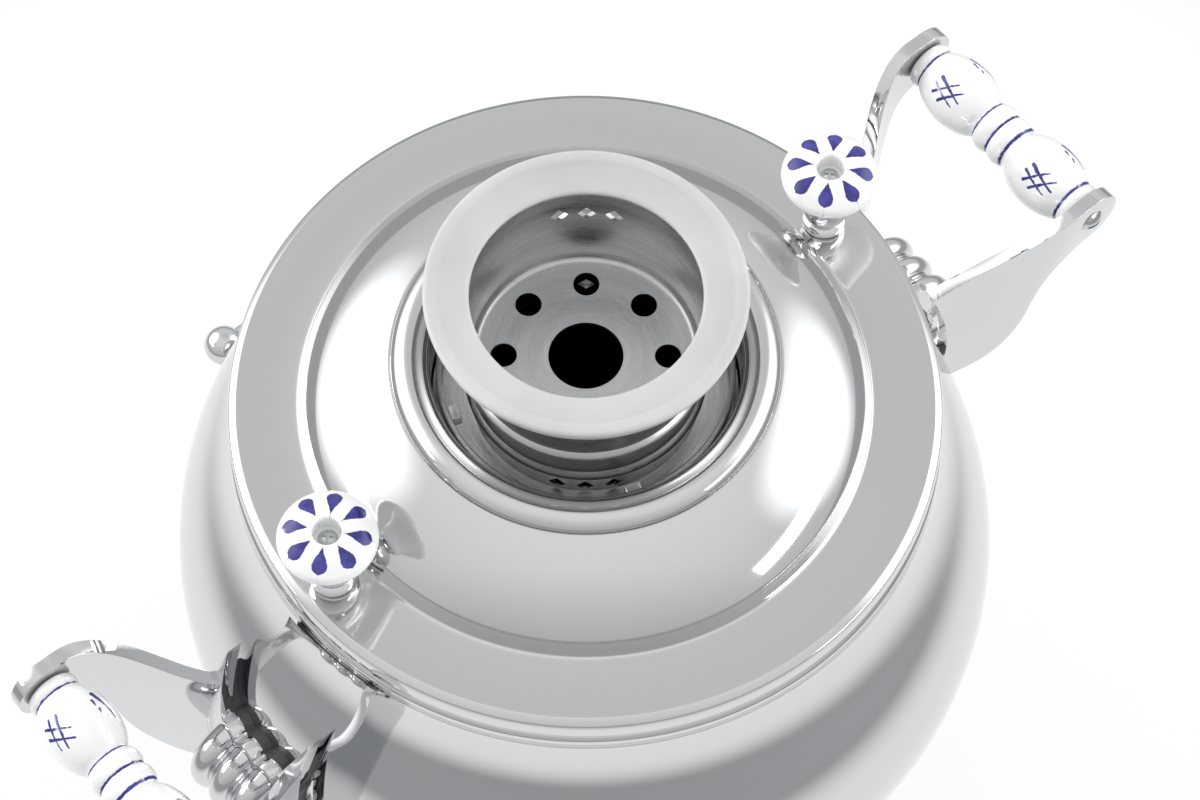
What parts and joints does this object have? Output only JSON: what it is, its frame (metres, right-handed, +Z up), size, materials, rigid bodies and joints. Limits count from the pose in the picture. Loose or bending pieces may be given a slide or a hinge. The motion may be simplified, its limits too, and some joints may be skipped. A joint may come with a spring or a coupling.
{
  "type": "electric samovar",
  "caption": "Polished electric samovar with porcelain grips and lid knobs, a lift-off lid and steam crown, a tap with a turning key, and a thermostat dial.",
  "frame": {"origin": "on the table, under the urn's axis", "axes": "+Z up; the tap faces -Y; the handles lie along X"},
  "size_m": [0.3818, 0.3243, 0.3599],
  "materials": {
    "chrome": "mirror-polished nickel plate",
    "cast_chrome": "polished, chromed castings",
    "brushed_steel": "stainless steel, brushed in circles",
    "porcelain": "glossy white glaze with cobalt brushwork",
    "silicone": "translucent, satin",
    "red_silicone": "matte",
    "gasket_grey": "matte",
    "brass": "turned",
    "zinc_screws": "zinc plated",
    "heater_sheath": "satin sheath",
    "black_plastic": "fine moulded grain",
    "ceramic": "matte",
    "black_rubber": "matte",
    "lens": "translucent red"
  },
  "bodies": {
    "urn": {"body_shell": "chrome", "collar_ring": "chrome", "base_pedestal": "chrome", "base_ring": "chrome", "tap_body": "chrome", "tap_rosette": "chrome", "tap_cap_nut": "chrome", "pilot_bezel": "chrome", "right_arm_front": "cast_chrome", "right_arm_back": "cast_chrome", "right_escutcheon": "cast_chrome", "right_boss": "cast_chrome", "right_gasket": "gasket_grey", "right_grip": "porcelain", "right_grip_rod": "zinc_screws", "right_grip_screws": "zinc_screws", "left_arm_front": "cast_chrome", "left_arm_back": "cast_chrome", "left_escutcheon": "cast_chrome", "left_boss": "cast_chrome", "left_gasket": "gasket_grey", "left_grip": "porcelain", "left_grip_rod": "zinc_screws", "left_grip_screws": "zinc_screws", "tank_floor": "brushed_steel", "element_seals": "red_silicone", "tap_gasket": "gasket_grey", "tap_inner_nut": "brass", "element_nuts": "brass", "inlet_pins": "brass", "bottom_screws": "zinc_screws", "inlet_screws": "zinc_screws", "heating_element": "heater_sheath", "bottom_plate": "black_plastic", "inlet_housing": "black_plastic", "thermostat": "black_plastic", "thermal_cutout": "ceramic", "foot_ring": "black_rubber", "pilot_lens": "lens"},
    "lid": {"lid_shell": "chrome", "lid_skirt": "brushed_steel", "lid_seal": "silicone", "neck_ring": "chrome", "knob_stems": "chrome", "right_knob": "porcelain", "left_knob": "porcelain", "knob_screws": "zinc_screws"},
    "crown": {"crown_cup": "brushed_steel", "crown_floor": "brushed_steel", "crown_studs": "brushed_steel", "silicone_ring": "silicone"},
    "tap_key": {"tap_plug": "brass", "tap_plug_nut": "zinc_screws", "tap_key_bar": "chrome", "tap_key_balls": "chrome"},
    "thermostat_dial": {"dial": "black_plastic"}
  },
  "joints": [
    {"name": "lid_lift", "type": "slide", "parent": "urn", "child": "lid", "axis": [0, 0, 1], "range_m": [0, 0.12]},
    {"name": "crown_lift", "type": "slide", "parent": "lid", "child": "crown", "axis": [0, 0, 1], "range_m": [0, 0.08]},
    {"name": "tap_turn", "type": "hinge", "parent": "urn", "child": "tap_key", "pos_m": [0, -0.164, 0.13], "axis": [0, 0, 1], "range_deg": [0, 90]},
    {"name": "dial_turn", "type": "hinge", "parent": "urn", "child": "thermostat_dial", "pos_m": [0, -0.095, 0.029], "axis": [0, -1, 0], "range_deg": [-270, 0]}
  ]
}
